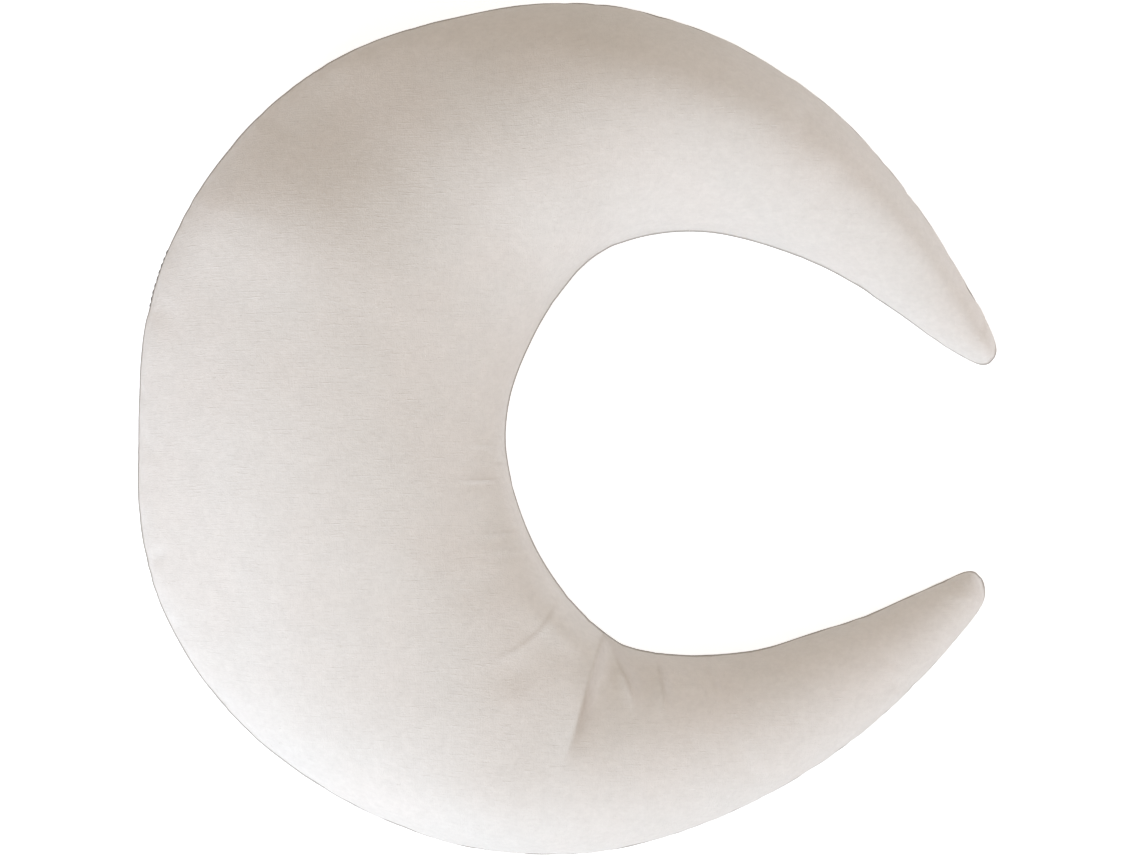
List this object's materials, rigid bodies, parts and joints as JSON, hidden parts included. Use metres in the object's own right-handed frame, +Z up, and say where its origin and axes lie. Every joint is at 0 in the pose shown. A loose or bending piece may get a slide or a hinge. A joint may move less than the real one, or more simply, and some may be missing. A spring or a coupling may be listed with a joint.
{
  "type": "crescent nursing cushion",
  "caption": "Crescent-moon stuffed cushion that tapers to two horns around a waist opening, lying flat on its back, with one seam along its whole outline.",
  "frame": {"origin": "under the middle of the cushion's outline, on the surface it lies on", "axes": "+Z up through the thickness, +X from the body towards the two horn tips and the mouth between them, +Y towards the fuller horn"},
  "size_m": [0.6018, 0.5954, 0.1539],
  "materials": {
    "cotton_cover": "matte brushed ivory cotton with a fine slubbed weave"
  },
  "bodies": {
    "root": {"crescent_cushion": "cotton_cover"}
  },
  "joints": []
}
